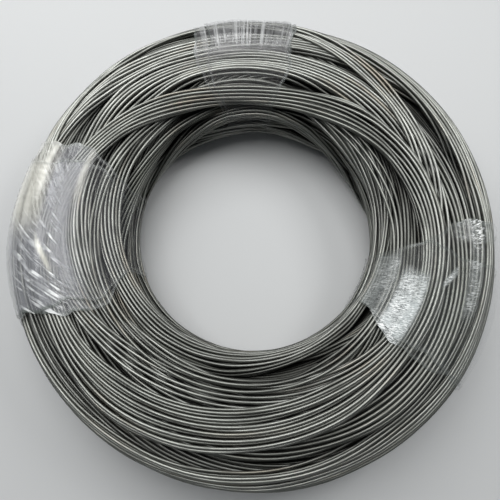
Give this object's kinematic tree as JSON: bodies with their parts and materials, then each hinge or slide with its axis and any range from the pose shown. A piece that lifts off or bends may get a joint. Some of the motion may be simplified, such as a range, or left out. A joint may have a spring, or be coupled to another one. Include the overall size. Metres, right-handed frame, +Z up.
{
  "type": "coil of stainless steel wire",
  "caption": "Round coil of loosely laid stainless steel wire with an open bore, lying flat, held by bands of clear stretch film.",
  "frame": {"origin": "centre of the bore, on the floor that the coil lies on", "axes": "+Z up along the bore's axis; +Y away from the viewer of the picture, +X to the viewer's right"},
  "size_m": [0.63, 0.63, 0.12],
  "materials": {
    "wire": "drawn stainless wire, dull grey with silvery glints along the turns",
    "film": "clear glossy stretch film, wrinkled, milky where it bunches"
  },
  "bodies": {
    "root": {"wire_coil": "wire", "film_band_far": "film", "film_band_left": "film", "film_band_right": "film"}
  },
  "joints": []
}
